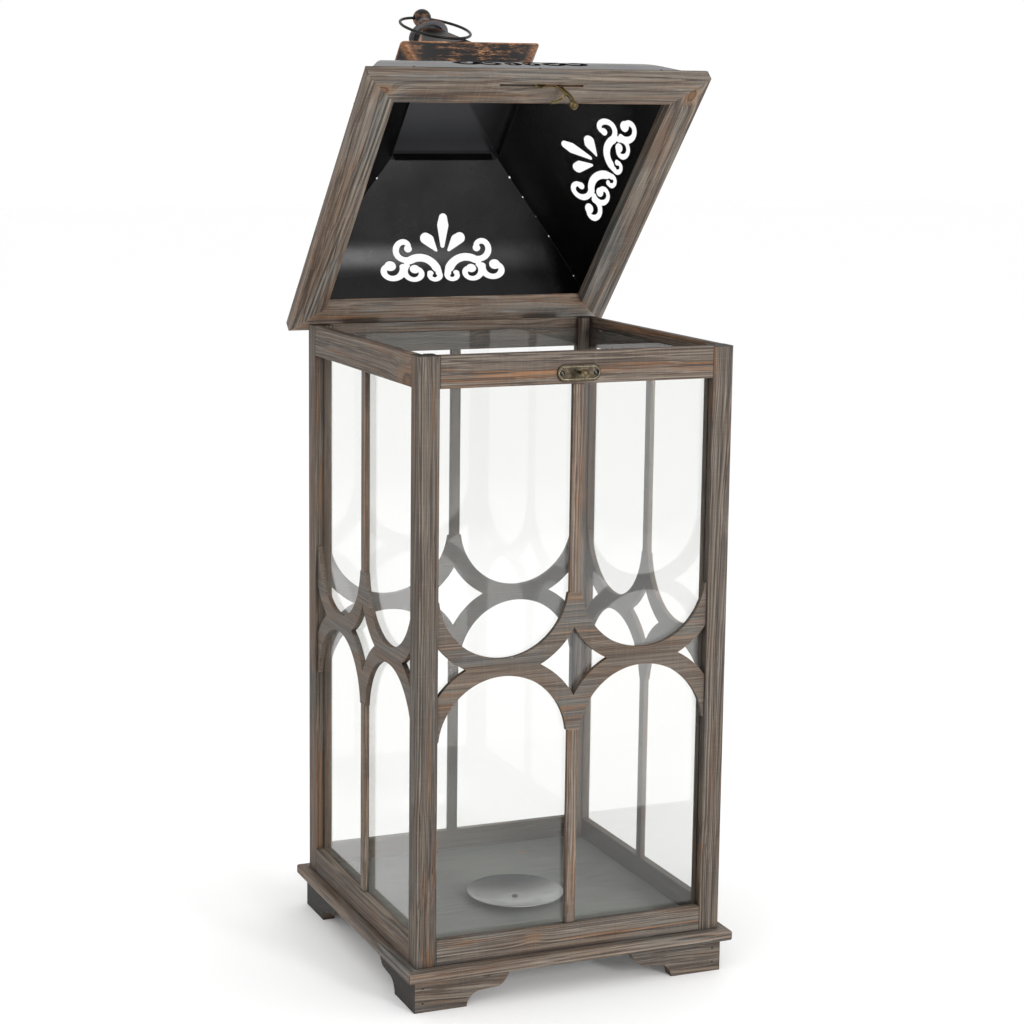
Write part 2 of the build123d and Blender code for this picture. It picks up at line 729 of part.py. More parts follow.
with BuildPart() as collar:
    for grow, mode in ((0, Mode.ADD), (-1.0, Mode.SUBTRACT)):
        corner_r = hood_corner + 1 + grow
        with BuildSketch(on_lid(w=collar_z[0])):
            RectangleRounded(2 * (collar_half[0] + grow), 2 * (collar_half[0] + grow), corner_r)
        extrude(amount=collar_z[1] - collar_z[0], mode=mode)
        with BuildSketch(on_lid(w=collar_z[1])):
            RectangleRounded(2 * (collar_half[1] + grow), 2 * (collar_half[1] + grow), corner_r)
        with BuildSketch(on_lid(w=collar_z[2])):
            RectangleRounded(2 * (collar_half[2] + 1.2 * grow), 2 * (collar_half[2] + 1.2 * grow), corner_r)
        loft(mode=mode)
finish(collar, "collar")

# -------------------------------------------------------- finial, nut and ring
stud_end = 228.0
ball_foot = ball_z - sqrt(ball_r**2 - 5.0**2)
eye_r = 3.1
with BuildPart() as finial:
    with BuildSketch(cross_lid(0)):
        with BuildLine():
            Polyline((0, stud_end), (stud_r, stud_end), (stud_r, hood_top), (5, hood_top), (5, 245.5))
            Line((5, 245.5), (9, 245.5))
            ThreePointArc((9, 245.5), (13.8, 243.2), (15.4, 238.5))
            Line((15.4, 238.5), (19.5, 238.5))
            ThreePointArc((19.5, 238.5), (20.2, 239.8), (19.2, 241.0))
            ThreePointArc((19.2, 241.0), (11.2, 246.8), (7.6, 255.2))
            ThreePointArc((7.6, 255.2), (5.6, 256.0), (5.0, ball_foot))
            ThreePointArc((5.0, ball_foot), (ball_r, ball_z), (0, ball_z + ball_r))
            Line((0, ball_z + ball_r), (0, stud_end))
        make_face()
    revolve(axis=Axis(on_lid().origin, on_lid().z_dir))
    swing = on_lid(0, 0, ball_z, (0, 0, ring_yaw))
    with BuildSketch(Plane(origin=swing.origin - swing.x_dir * 10, z_dir=swing.x_dir)):
        Circle(eye_r)
    extrude(amount=20, mode=Mode.SUBTRACT)
finish(finial, "finial")

with BuildPart() as nut:
    with BuildSketch(on_lid(w=hood_top - hood_wall)):
        RegularPolygon(4.2, 6)
        Circle(stud_r, mode=Mode.SUBTRACT)
    extrude(amount=-3.4)
finish(nut, "finial_nut")

with BuildPart() as ring:
    swing = on_lid(0, 0, ball_z, (0, 0, ring_yaw))
    down = swing.y_dir * -cos(radians(ring_lean)) - swing.z_dir * sin(radians(ring_lean))
    ring_normal = swing.x_dir.cross(down)
    with Locations(Plane(origin=swing.origin + down * ring_r, x_dir=swing.x_dir, z_dir=ring_normal)):
        Torus(ring_r, ring_wire)
finish(ring, "ring_handle")

# --------------------------------------------------------------------- hook
with BuildPart() as hook_pin:
    with BuildSketch(on_lid(hook_eye[0], -151, hook_eye[1], (90, 0, 0))):
        Circle(1.25)
    extrude(amount=11.5)
finish(hook_pin, "hook_pin")

with BuildPart() as hook:
    catch_r = 25.0
    with BuildSketch(on_lid(0, hook_v + hook_thick / 2, 0, (90, 0, 0))):
        with Locations(hook_eye):
            Circle(hook_eye_r)
        with BuildLine() as arm:
            Spline(hook_eye, (9, 1.5), (15.0, 0.6), (18.6, -5.0), (22.6, -12), (23.5, -21))
        trace(line_width=4.0)
        with BuildLine() as prong:
            CenterArc(hook_eye, catch_r, -31, -51)
        trace(line_width=2.4)
        with Locations(prong.line @ 1):
            Circle(1.2)
        with Locations(hook_eye):
            Circle(1.3, mode=Mode.SUBTRACT)
    extrude(amount=hook_thick)
    with BuildSketch(on_lid(0, hook_v, 0, (90, 0, 0))):
        with Locations((23, -24.5)):
            Circle(4.2)
            Rectangle(4.2, 8.4, align=(Align.MAX, Align.CENTER), mode=Mode.SUBTRACT)
    ball_at = on_lid(23, hook_v, -24.5, (90, 0, 0))
    revolve(axis=Axis(ball_at.origin, ball_at.y_dir))
finish(hook, "hook")
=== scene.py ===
import math
import random

import bpy
from mathutils import Matrix, Vector


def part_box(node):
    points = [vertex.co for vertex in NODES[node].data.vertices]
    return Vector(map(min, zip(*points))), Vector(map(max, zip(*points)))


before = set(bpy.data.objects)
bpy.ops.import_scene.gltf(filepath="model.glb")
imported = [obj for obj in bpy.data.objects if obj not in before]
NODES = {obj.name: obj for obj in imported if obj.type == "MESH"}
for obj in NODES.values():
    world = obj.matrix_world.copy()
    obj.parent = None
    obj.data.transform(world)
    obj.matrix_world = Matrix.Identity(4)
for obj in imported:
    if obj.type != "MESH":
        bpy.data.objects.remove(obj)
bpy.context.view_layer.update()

random.seed(7)
SIDES = ("front", "right", "rear", "left")
CORNERS = ("front_left", "front_right", "rear_right", "rear_left")

# The lid's own frame: x right, y back, z up from the underside of its wooden frame.
HINGE = (0, 0.1532, 0.5809)
HINGE_IN_LID = Vector((0, 0.1564, -0.003))
OPEN = math.radians(46.8)
LID = Matrix.Translation(HINGE) @ Matrix.Rotation(-OPEN, 4, "X") @ Matrix.Translation(-HINGE_IN_LID)


# ------------------------------------------------------------------ node nets
class Net:
    """Short names for building a node tree."""

    def __init__(self, tree):
        self.tree = tree

    def node(self, kind, **settings):
        n = self.tree.nodes.new(kind)
        for key, value in settings.items():
            setattr(n, key, value)
        return n

    def put(self, socket, value):
        if isinstance(value, bpy.types.NodeSocket):
            self.tree.links.new(value, socket)
        else:
            socket.default_value = value

    def math(self, op, a, b=0.0, clamp=False):
        n = self.node("ShaderNodeMath", operation=op, use_clamp=clamp)
        self.put(n.inputs[0], a)
        self.put(n.inputs[1], b)
        return n.outputs[0]

    def plus(self, a, b):
        return self.math("ADD", a, b)

    def less(self, a, b):
        return self.math("SUBTRACT", a, b)

    def times(self, a, b):
        return self.math("MULTIPLY", a, b)

    def length(self, a, b):
        return self.math("SQRT", self.plus(self.times(a, a), self.times(b, b)))

    def vector(self, op, a, b):
        n = self.node("ShaderNodeVectorMath", operation=op)
        self.put(n.inputs[0], a)
        self.put(n.inputs[1], b)
        return n.outputs["Value" if op in ("DISTANCE", "DOT_PRODUCT") else "Vector"]

    def split(self, v):
        n = self.node("ShaderNodeSeparateXYZ")
        self.put(n.inputs[0], v)
        return n.outputs

    def join(self, x, y, z):
        n = self.node("ShaderNodeCombineXYZ")
        for socket, value in zip(n.inputs, (x, y, z)):
            self.put(socket, value)
        return n.outputs[0]

    def noise(self, v, scale=1.0, detail=2.0, rough=0.5):
        n = self.node("ShaderNodeTexNoise")
        self.put(n.inputs["Vector"], v)
        self.put(n.inputs["Scale"], scale)
        self.put(n.inputs["Detail"], detail)
        self.put(n.inputs["Roughness"], rough)
        return n.outputs[0]

    def line_noise(self, w, scale, detail, rough):
        """Noise that varies along one number only."""
        n = self.node("ShaderNodeTexNoise", noise_dimensions="1D")
        self.put(n.inputs["W"], w)
        self.put(n.inputs["Scale"], scale)
        self.put(n.inputs["Detail"], detail)
        self.put(n.inputs["Roughness"], rough)
        return n.outputs[0]

    def stretch(self, v, sx, sy, sz):
        return self.vector("MULTIPLY", v, (sx, sy, sz))

    def fit(self, value, lo, hi, to_lo=0.0, to_hi=1.0, smooth=True):
        n = self.node("ShaderNodeMapRange", interpolation_type="SMOOTHSTEP" if smooth else "LINEAR")
        for socket, v in zip(n.inputs, (value, lo, hi, to_lo, to_hi)):
            self.put(socket, v)
        return n.outputs[0]

    def mix(self, fac, a, b):
        n = self.node("ShaderNodeMix", data_type="RGBA")
        self.put(n.inputs[0], fac)
        self.put(n.inputs[6], a)
        self.put(n.inputs[7], b)
        return n.outputs[2]

    def edges(self, radius, lo=0.02, hi=0.25):
        """1 where the surface turns within `radius`, 0 on flat parts."""
        bevel = self.node("ShaderNodeBevel", samples=4)
        bevel.inputs["Radius"].default_value = radius
        here = self.node("ShaderNodeNewGeometry")
        turn = self.vector("DOT_PRODUCT", bevel.outputs[0], here.outputs["True Normal"])
        return self.fit(self.less(1.0, turn), lo, hi)

    def shade(self, reach, lo=0.35, hi=0.9):
        """1 deep in a corner within `reach`, 0 on open faces."""
        n = self.node("ShaderNodeAmbientOcclusion", samples=6)
        n.inputs["Distance"].default_value = reach
        return self.fit(n.outputs["AO"], lo, hi, 1.0, 0.0)

    def bump(self, height, distance, strength=1.0, normal=None):
        n = self.node("ShaderNodeBump")
        n.inputs["Strength"].default_value = strength
        n.inputs["Distance"].default_value = distance
        self.put(n.inputs["Height"], height)
        if normal is not None:
            self.put(n.inputs["Normal"], normal)
        return n.outputs[0]

    def place(self):
        """The point on the surface, in metres."""
        return self.node("ShaderNodeTexCoord").outputs["Object"]


def rgb(r, g, b):
    """An sRGB colour, 0 to 255, as a linear one."""
    def one(c):
        c /= 255
        return c / 12.92 if c <= 0.04045 else ((c + 0.055) / 1.055) ** 2.4
    return (one(r), one(g), one(b), 1.0)


def scaled(colour, by):
    return tuple(min(1, c * by) for c in colour[:3]) + (1,)


def material(name):
    m = bpy.data.materials.new(name)
    m.use_nodes = True
    net = Net(m.node_tree)
    shader = m.node_tree.nodes["Principled BSDF"]
    return m, net, shader


def dress(name, mat):
    """Gives a CAD node's object one material."""
    obj = NODES[name]
    if not obj.material_slots:
        obj.data.materials.append(mat)
    for slot in obj.material_slots:
        slot.link = "OBJECT"
        slot.material = mat


# ----------------------------------------------------------------- wood grain
BROWN, GREY, COOL, RUST = rgb(103, 85, 71), rgb(113, 105, 96), rgb(99, 105, 105), rgb(144, 100, 64)
PALE_RING, LATE_RING = rgb(154, 143, 128), rgb(60, 50, 44)
PALE_FIBRE, DARK_FIBRE = rgb(168, 157, 143), rgb(48, 42, 38)
PALE_COMB, DARK_COMB = rgb(148, 138, 125), rgb(52, 44, 39)
PALE_SAW, DARK_SAW = rgb(146, 138, 127), rgb(62, 55, 50)
BARE_ARRIS, DARK_ARRIS = rgb(158, 112, 72), rgb(70, 62, 56)
KNOT_HALO, KNOT_RIM, KNOT_HEART = rgb(146, 106, 70), rgb(62, 44, 33), rgb(128, 92, 62)
# the corner colour is painted shade
CHECK, CORNER_PAINTED_SHADE, JOINT = rgb(34, 30, 28), rgb(36, 32, 30), rgb(24, 21, 20)

RINGS_PER_METRE = 700
RING_SWAY = 0.008
KNOT_LONG = 0.55           # a knot's length along the grain is 1 / 0.55 of its width
WANDER = 0.012             # how far the brushed lines stray sideways
ARRIS_WIDTH = 0.0013
CORNER_REACH = 0.007

GRAIN_INPUTS = {
    "Place": "NodeSocketVector",
    "Seed": "NodeSocketFloat",
    "Warm": "NodeSocketFloat",
    "Tone": "NodeSocketFloat",
    "Pith": "NodeSocketVector",
    "Knot": "NodeSocketVector",
    "Knot Size": "NodeSocketFloat",
    "Half Length": "NodeSocketFloat",
    "Contrast": "NodeSocketFloat",
}
GRAIN_OUTPUTS = {
    "Color": "NodeSocketColor",
    "Roughness": "NodeSocketFloat",
    "Normal": "NodeSocketVector",
}


def knot_distance(net, inp):
    """Distance from the knot's middle, in knot radii."""
    place = net.stretch(inp["Place"], KNOT_LONG, 1, 1)
    knot = net.stretch(inp["Knot"], KNOT_LONG, 1, 1)
    return net.math("DIVIDE", net.vector("DISTANCE", place, knot), inp["Knot Size"])


def growth_rings(net, inp, sway, near_knot):
    """Rings about a tilted pith, pushed about by slow noise and by a knot."""
    x, y, z = net.split(inp["Place"])
    lean, pith_y, pith_z = net.split(inp["Pith"])
    dy = net.less(net.plus(y, net.times(x, lean)), pith_y)
    r = net.length(dy, net.less(z, pith_z))
    push = net.math("EXPONENT", net.times(net.times(near_knot, near_knot), -0.30))
    r = net.plus(r, net.times(sway, RING_SWAY))
    r = net.plus(r, net.times(push, inp["Knot Size"]))
    r = net.plus(r, net.times(inp["Seed"], 0.37))
    return net.line_noise(r, RINGS_PER_METRE, 2.5, 0.62)


def stained(net, inp, p):
    """Grey and brown stain in drifting patches, with cool grey patches."""
    warm = inp["Warm"]
    patch = net.noise(net.stretch(p, 7, 30, 30), detail=3, rough=0.6)
    cool = net.noise(net.stretch(net.vector("ADD", p, (3.1, 0.7, 0.2)), 8, 40, 40), detail=3, rough=0.6)
    greyed = net.math("ADD", net.fit(patch, 0.36, 0.62, 0.0, 0.9), net.times(warm, -0.6), clamp=True)
    col = net.mix(greyed, BROWN, GREY)
    return net.mix(net.times(net.fit(cool, 0.46, 0.64, 0.0, 0.85), net.less(1.0, warm)), col, COOL)


def brushed(net, inp, p, col, rings, fibre):
    """Lines along the grain: rings, streaks, fibres, small checks and comb marks."""
    strong = inp["Contrast"]
    check = net.noise(net.stretch(p, 9, 560, 560), detail=2, rough=0.6)
    streak = net.noise(net.stretch(p, 4.5, 210, 210), detail=3, rough=0.6)
    comb = net.noise(net.stretch(p, 2.6, 360, 360), detail=2.5, rough=0.6)

    def line(amount, colour):
        return net.mix(net.times(amount, strong), col, colour)

    col = line(net.times(net.fit(rings, 0.47, 0.30), 0.55), PALE_RING)
    col = net.mix(net.times(net.fit(streak, 0.54, 0.66), net.plus(inp["Warm"], 0.12)), col, RUST)
    col = line(net.times(net.fit(rings, 0.50, 0.66), 0.82), LATE_RING)
    col = line(net.fit(fibre, 0.53, 0.66, 0.0, 0.60), DARK_FIBRE)
    col = line(net.fit(check, 0.64, 0.72, 0.0, 0.85), CHECK)
    col = line(net.fit(comb, 0.545, 0.61, 0.0, 0.55), DARK_COMB)
    col = line(net.fit(comb, 0.455, 0.40, 0.0, 0.26), PALE_COMB)
    return line(net.fit(fibre, 0.45, 0.32, 0.0, 0.40), PALE_FIBRE)


def worn(net, p, col, saw, near_knot):
    """Saw marks across the grain, rubbed arrises and the knot."""
    col = net.mix(net.fit(saw, 0.56, 0.70, 0.0, 0.10), col, PALE_SAW)
    col = net.mix(net.fit(saw, 0.44, 0.30, 0.0, 0.12), col, DARK_SAW)
    rub = net.noise(net.stretch(p, 26, 60, 60), detail=3, rough=0.6)
    arris = net.edges(ARRIS_WIDTH)
    col = net.mix(net.times(arris, net.fit(rub, 0.44, 0.58, 0.0, 0.85)), col, BARE_ARRIS)
    col = net.mix(net.times(arris, net.fit(rub, 0.44, 0.34, 0.0, 0.5)), col, DARK_ARRIS)
    col = net.mix(net.fit(near_knot, 2.3, 1.0, 0.0, 0.45), col, KNOT_HALO)
    col = net.mix(net.times(net.fit(near_knot, 1.1, 0.85), 0.75), col, KNOT_RIM)
    return net.mix(net.times(net.fit(near_knot, 0.85, 0.55), 0.7), col, KNOT_HEART)


def grain_group():
    """Wire-brushed, grey-stained fir. Grain runs along local X; lengths in metres."""
    g = bpy.data.node_groups.new("fir_grain", "ShaderNodeTree")
    for name, kind in GRAIN_INPUTS.items():
        g.interface.new_socket(name=name, in_out="INPUT", socket_type=kind)
    for name, kind in GRAIN_OUTPUTS.items():
        g.interface.new_socket(name=name, in_out="OUTPUT", socket_type=kind)
    net = Net(g)
    inp = net.node("NodeGroupInput").outputs
    out = net.node("NodeGroupOutput").inputs
    p = net.vector("ADD", inp["Place"], net.join(*(net.times(inp["Seed"], k) for k in (3.71, 1.93, 2.57))))
    sway = net.noise(net.stretch(p, 5, 16, 16), detail=2)
    near_knot = knot_distance(net, inp)
    rings = growth_rings(net, inp, sway, near_knot)
    stray = net.times(net.less(sway, 0.5), WANDER)
    p = net.vector("ADD", p, net.join(0.0, stray, stray))
    fibre = net.noise(net.stretch(p, 14, 780, 780), detail=3, rough=0.65)
    saw = net.noise(net.stretch(p, 640, 24, 24), detail=2)
    col = brushed(net, inp, p, stained(net, inp, p), rings, fibre)
    col = worn(net, p, col, saw, near_knot)

    # painted shade darkens the corners, and each board's end shows as a dark joint line
    col = net.mix(net.times(net.shade(CORNER_REACH), 0.62), col, CORNER_PAINTED_SHADE)
    to_end = net.less(inp["Half Length"], net.math("ABSOLUTE", net.split(inp["Place"])[0]))
    col = net.mix(net.fit(to_end, 0.0010, 0.0002, 0.0, 0.85), col, JOINT)
    tone = net.node("ShaderNodeHueSaturation")
    net.put(tone.inputs["Value"], inp["Tone"])
    net.put(tone.inputs["Color"], col)
    net.put(out["Color"], tone.outputs[0])
    net.put(out["Roughness"], net.fit(rings, 0.3, 0.7, 0.74, 0.56, smooth=False))
    height = net.plus(net.times(net.fit(rings, 0.50, 0.66), 0.9), net.times(fibre, 0.9))
    height = net.plus(height, net.times(saw, 0.16))
    net.put(out["Normal"], net.bump(height, 0.00022, 0.9))
    return g


GRAIN = grain_group()
TURN = {
    "x": Matrix.Identity(4),
    "y": Matrix.Rotation(math.radians(-90), 4, "Z"),
    "z": Matrix.Rotation(math.radians(90), 4, "Y"),
}
# knots, from each board's middle, along its grain, across it and through it, and their radii
KNOTS = {
    "lid_rail_front": ((-0.151, 0.002, -0.006), 0.0046),
    "lid_rail_right": ((-0.146, -0.003, -0.006), 0.0040),
    "top_rail_left": ((-0.122, 0.009, -0.010), 0.0090),
    "bottom_rail_front": ((-0.038, -0.0095, 0.003), 0.0042),
    "post_front_right": ((0.236, 0.002, -0.009), 0.0050),
}
NO_KNOT = ((9, 9, 9), 0.008)


def wood(name, along, home=Matrix.Identity(4), warm=0.25, tone=1.0, contrast=1.0):
    """Dresses one board. along: the axis of home that its grain follows; home: a frame's matrix."""
    to_board = TURN[along] @ home.inverted()
    pts = [to_board @ v.co for v in NODES[name].data.vertices]
    lo = Vector(min(p[i] for p in pts) for i in range(3))
    hi = Vector(max(p[i] for p in pts) for i in range(3))
    to_board = Matrix.Translation(-(lo + hi) / 2) @ to_board
    half = (hi - lo) / 2
    m, net, shader = material("fir_" + name)
    place = net.node("ShaderNodeMapping")
    place.inputs["Location"].default_value = to_board.translation
    place.inputs["Rotation"].default_value = to_board.to_euler()
    net.put(place.inputs["Vector"], net.place())
    g = net.node("ShaderNodeGroup", node_tree=GRAIN)
    net.put(g.inputs["Place"], place.outputs[0])
    side = random.choice((-1, 1))
    g.inputs["Seed"].default_value = random.uniform(0, 9)
    g.inputs["Warm"].default_value = warm + random.uniform(-0.08, 0.08)
    g.inputs["Tone"].default_value = tone * random.uniform(0.96, 1.05)
    g.inputs["Pith"].default_value = (
        random.uniform(-0.05, 0.05),
        random.uniform(-0.6, 0.6) * half.y,
        side * (half.z + random.uniform(0.006, 0.030)),
    )
    knot, knot_size = KNOTS.get(name, NO_KNOT)
    g.inputs["Knot"].default_value = knot
    g.inputs["Knot Size"].default_value = knot_size
    g.inputs["Half Length"].default_value = half.x
    g.inputs["Contrast"].default_value = contrast
    for socket, result in (("Base Color", "Color"), ("Roughness", "Roughness"), ("Normal", "Normal")):
        net.put(shader.inputs[socket], g.outputs[result])
    shader.inputs["Specular IOR Level"].default_value = 0.35
    dress(name, m)


# how much each side of the lid's frame is lightened or darkened as painted light and shade, and how much
# the lantern's rear boards are cooled and darkened as painted shade behind the glass
LID_PAINTED_LIGHT = {"front": 0.86, "right": 0.86, "rear": 1.34, "left": 0.96}
REAR_SHADE_WARMTH, REAR_RAIL_SHADE, REAR_BAR_SHADE = 0.3, 0.92, 0.72
for corner in CORNERS:
    wood(f"post_{corner}", "z", warm=0.70, tone=0.62)
    wood(f"foot_{corner}", "x", warm=0.35, tone=0.74)
for i, side in enumerate(SIDES):
    along = "xy"[i % 2]
    rear = side == "rear"
    # rear boards are painted cooler and darker as shade behind the glass
    shade_warmth = REAR_SHADE_WARMTH if rear else 1.0
    light = REAR_RAIL_SHADE if rear else 1.0
    bar_shade = REAR_BAR_SHADE if rear else 1.0
    wood(f"top_rail_{side}", along, warm=0.82 * shade_warmth, tone=0.74 * light)
    wood(f"bottom_rail_{side}", along, warm=0.50 * shade_warmth, tone=0.78 * light)
    wood(f"plinth_{side}", along, warm=0.30, tone=0.86)
    wood(f"fret_{side}", along, warm=0.30 * shade_warmth, tone=0.72 * bar_shade, contrast=0.6)
    wood(f"mullions_{side}", "z", warm=0.85 * shade_warmth, tone=bar_shade)
    # each lid rail's tone paints light or shade on that side
    wood(f"lid_rail_{side}", along, LID, warm=0.22, tone=LID_PAINTED_LIGHT[side])


# ---------------------------------------------------------------- other finishes
def floor_board():
    """Grey painted board with a faint weave and one rusty spot."""
    m, net, shader = material("grey_floor_board")
    p = net.place()
    fibre = net.noise(net.stretch(p, 700, 22, 22), detail=3, rough=0.6)
    cross = net.noise(net.stretch(p, 22, 640, 22), detail=3, rough=0.6)
    pore = net.noise(net.stretch(p, 1500, 150, 150), detail=2, rough=0.6)
    cloud = net.noise(p, 14, 3, 0.55)
    spot = net.vector("DISTANCE", net.stretch(p, 0.7, 1, 1), (0.0434, 0.106, 0.043))
    col = net.mix(net.fit(cloud, 0.35, 0.65), rgb(86, 88, 85), rgb(100, 101, 97))
    col = net.mix(net.fit(fibre, 0.40, 0.64, 0, 0.5), col, rgb(84, 84, 80))
    col = net.mix(net.fit(cross, 0.44, 0.62, 0, 0.4), col, rgb(128, 130, 126))
    col = net.mix(net.fit(pore, 0.58, 0.70, 0, 0.4), col, rgb(84, 80, 74))
    col = net.mix(net.fit(spot, 0.0032, 0.0014, 0.0, 0.8), col, rgb(150, 92, 48))
    net.put(shader.inputs["Base Color"], col)
    shader.inputs["Roughness"].default_value = 0.6
    net.put(shader.inputs["Normal"], net.bump(fibre, 0.0001, 0.6))
    return m


def glass(tint):
    """Clear glass that lets light through to what stands behind it."""
    m, net, shader = material("window_glass")
    shader.inputs["Base Color"].default_value = tint
    shader.inputs["Roughness"].default_value = 0.0
    shader.inputs["IOR"].default_value = 1.45
    shader.inputs["Transmission Weight"].default_value = 1.0
    clear = net.node("ShaderNodeBsdfTransparent")
    clear.inputs[0].default_value = tint
    both = net.node("ShaderNodeMixShader")
    net.put(both.inputs[0], net.node("ShaderNodeLightPath").outputs["Is Shadow Ray"])
    net.put(both.inputs[1], shader.outputs[0])
    net.put(both.inputs[2], clear.outputs[0])
    net.put(m.node_tree.nodes["Material Output"].inputs["Surface"], both.outputs[0])
    return m


def black_sheet():
    """Satin black paint over sheet steel, slightly oil-canned, with a painted highlight along its edges.
    """
    m, net, shader = material("satin_black_sheet")
    p = net.place()
    cloud = net.noise(p, 22, 4, 0.6)
    speck = net.noise(p, 900, 2, 0.5)
    col = net.mix(net.fit(cloud, 0.3, 0.7), rgb(10, 10, 11), rgb(16, 16, 17))
    # painted highlight: a light grey line along the sheet's edges and folds
    col = net.mix(net.times(net.edges(0.0009), 0.3), col, rgb(74, 72, 70))
    net.put(shader.inputs["Base Color"], col)
    net.put(shader.inputs["Roughness"], net.fit(cloud, 0.3, 0.7, 0.20, 0.27, smooth=False))
    shader.inputs["Specular IOR Level"].default_value = 0.16
    ripple = net.bump(net.noise(p, 9, 1, 0.4), 0.003, 0.5)
    net.put(shader.inputs["Normal"], net.bump(speck, 0.00004, 0.6, ripple))
    return m


def lid_place(net, p):
    """A point's x, v (back) and w (up) in the lid's own frame."""
    to_lid = LID.inverted()
    along = [net.vector("DOT_PRODUCT", p, Vector(to_lid[i][:3])) for i in range(3)]
    return [net.plus(value, to_lid[i][3]) for i, value in enumerate(along)]


def outer_face(net, x, v):
    """1 where a lid part faces away from the lid's upright axis or up, 0 inside the hood."""
    normal = net.node("ShaderNodeVectorTransform", vector_type="NORMAL")
    normal.convert_from, normal.convert_to = "WORLD", "OBJECT"
    net.put(normal.inputs[0], net.node("ShaderNodeNewGeometry").outputs["True Normal"])
    nx, nv, nw = [net.vector("DOT_PRODUCT", normal.outputs[0], axis) for axis in LID.to_3x3().col]
    out = net.plus(net.times(nx, x), net.times(nv, v))
    return net.fit(net.plus(net.math("DIVIDE", out, net.length(x, v)), nw), -0.2, 0.2)


def rubbed_bronze(name, rub, corners=False):
    """Black patina with copper rubbed through on arrises and in brushed streaks; inside, painted light in
    grey that grows lighter towards the top.
    """
    m, net, shader = material(name)
    p = net.place()
    x, v, rise = lid_place(net, p)
    outside = outer_face(net, x, v)
    cloud = net.noise(p, 38, 4, 0.6)
    brush = net.noise(net.stretch(p, 34, 300, 300), 1, 4, 0.65)
    fine = net.noise(net.stretch(p, 160, 900, 900), 1, 3, 0.65)
    thin = net.plus(net.times(cloud, 0.5), net.times(brush, 0.5))
    thin = net.times(net.fit(thin, 0.48, 0.62), rub)
    show = net.times(thin, net.fit(fine, 0.40, 0.56, 0.08, 1.0))
    arris = net.times(net.edges(0.0026, 0.01, 0.18), net.fit(brush, 0.30, 0.50, 0.25, 1.0))
    if corners:
        ax, av = net.math("ABSOLUTE", x), net.math("ABSOLUTE", v)
        hip = net.math("DIVIDE", net.math("MINIMUM", ax, av), net.math("MAXIMUM", ax, av))
        patchy = net.times(net.fit(hip, 0.84, 0.98), net.fit(cloud, 0.36, 0.50, 0.3, 1.0))
        arris = net.math("MAXIMUM", arris, patchy)
    show = net.times(net.math("MAXIMUM", show, arris), outside)
    # painted light inside the hood: grey, lighter towards the top
    inside_painted_light = net.mix(net.fit(rise, 0.142, 0.190), rgb(52, 52, 54), rgb(108, 108, 111))
    patina = net.mix(outside, inside_painted_light, rgb(24, 21, 20))
    copper = net.mix(net.fit(fine, 0.42, 0.62), rgb(138, 92, 62), rgb(206, 152, 112))
    net.put(shader.inputs["Base Color"], net.mix(show, patina, copper))
    net.put(shader.inputs["Metallic"], net.times(show, 0.7))
    net.put(shader.inputs["Roughness"], net.fit(cloud, 0.3, 0.7, 0.34, 0.50, smooth=False))
    shader.inputs["Specular IOR Level"].default_value = 0.22
    net.put(shader.inputs["Normal"], net.bump(cloud, 0.0003, 0.5))
    return m


def old_brass(name, dark, light, rub):
    """Cast brass, black in its hollows as patina and painted shade, and light on its arrises and high
    spots as polish and painted highlight.
    """
    m, net, shader = material(name)
    cloud = net.noise(net.place(), 210, 4, 0.6)
    # polish on high spots, and polish with a painted highlight on the arrises
    high = net.math("MAXIMUM", net.edges(0.0007, 0.01, 0.14), net.fit(cloud, 0.50, 0.66, 0, rub))
    col = net.mix(high, dark, light)
    # black in the hollows: patina there, and painted shade
    col = net.mix(net.times(net.shade(0.0035, 0.3, 0.85), 0.95), col, rgb(14, 12, 10))
    net.put(shader.inputs["Base Color"], col)
    shader.inputs["Metallic"].default_value = 0.9
    net.put(shader.inputs["Roughness"], net.fit(cloud, 0.3, 0.7, 0.26, 0.45, smooth=False))
    net.put(shader.inputs["Normal"], net.bump(cloud, 0.0003, 0.6))
    return m


def dish_metal():
    """Spun grey dish, darker towards its back as a painted reflection of the lantern's dark parts."""
    m, net, shader = material("grey_dish")
    p = net.place()
    low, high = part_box("candle_dish")
    middle = tuple((a + b) / 2 for a, b in zip(low, high))
    cloud = net.noise(p, 60, 3, 0.5)
    spin = net.line_noise(net.vector("DISTANCE", p, middle), 900, 2, 0.6)
    # painted reflection: the dish darkens towards its back
    back = net.fit(net.split(p)[1], low[1] + 0.022, high[1] - 0.012)
    col = net.mix(back, rgb(150, 151, 149), rgb(34, 36, 35))
    col = net.mix(net.fit(cloud, 0.4, 0.7, 0.0, 0.2), col, rgb(84, 86, 85))
    col = net.mix(net.fit(spin, 0.45, 0.7, 0.0, 0.12), col, rgb(176, 178, 177))
    net.put(shader.inputs["Base Color"], col)
    shader.inputs["Metallic"].default_value = 0.75
    net.put(shader.inputs["Roughness"], net.fit(cloud, 0.3, 0.7, 0.28, 0.38, smooth=False))
    net.put(shader.inputs["Normal"], net.bump(spin, 0.00003, 0.5))
    return m


def metal(name, colour, rough, metallic=0.0, spec=0.5):
    """Plain metal or wire, a little uneven, with a painted highlight on its edges."""
    m, net, shader = material(name)
    cloud = net.noise(net.place(), 70, 4, 0.6)
    col = net.mix(net.fit(cloud, 0.35, 0.65), scaled(colour, 0.72), colour)
    # painted highlight: edges lighter than the metal
    col = net.mix(net.times(net.edges(0.0008), 0.3), col, scaled(colour, 2.2))
    net.put(shader.inputs["Base Color"], col)
    shader.inputs["Metallic"].default_value = metallic
    shader.inputs["Specular IOR Level"].default_value = spec
    net.put(shader.inputs["Roughness"], net.fit(cloud, 0.3, 0.7, rough, rough + 0.12, smooth=False))
    return m


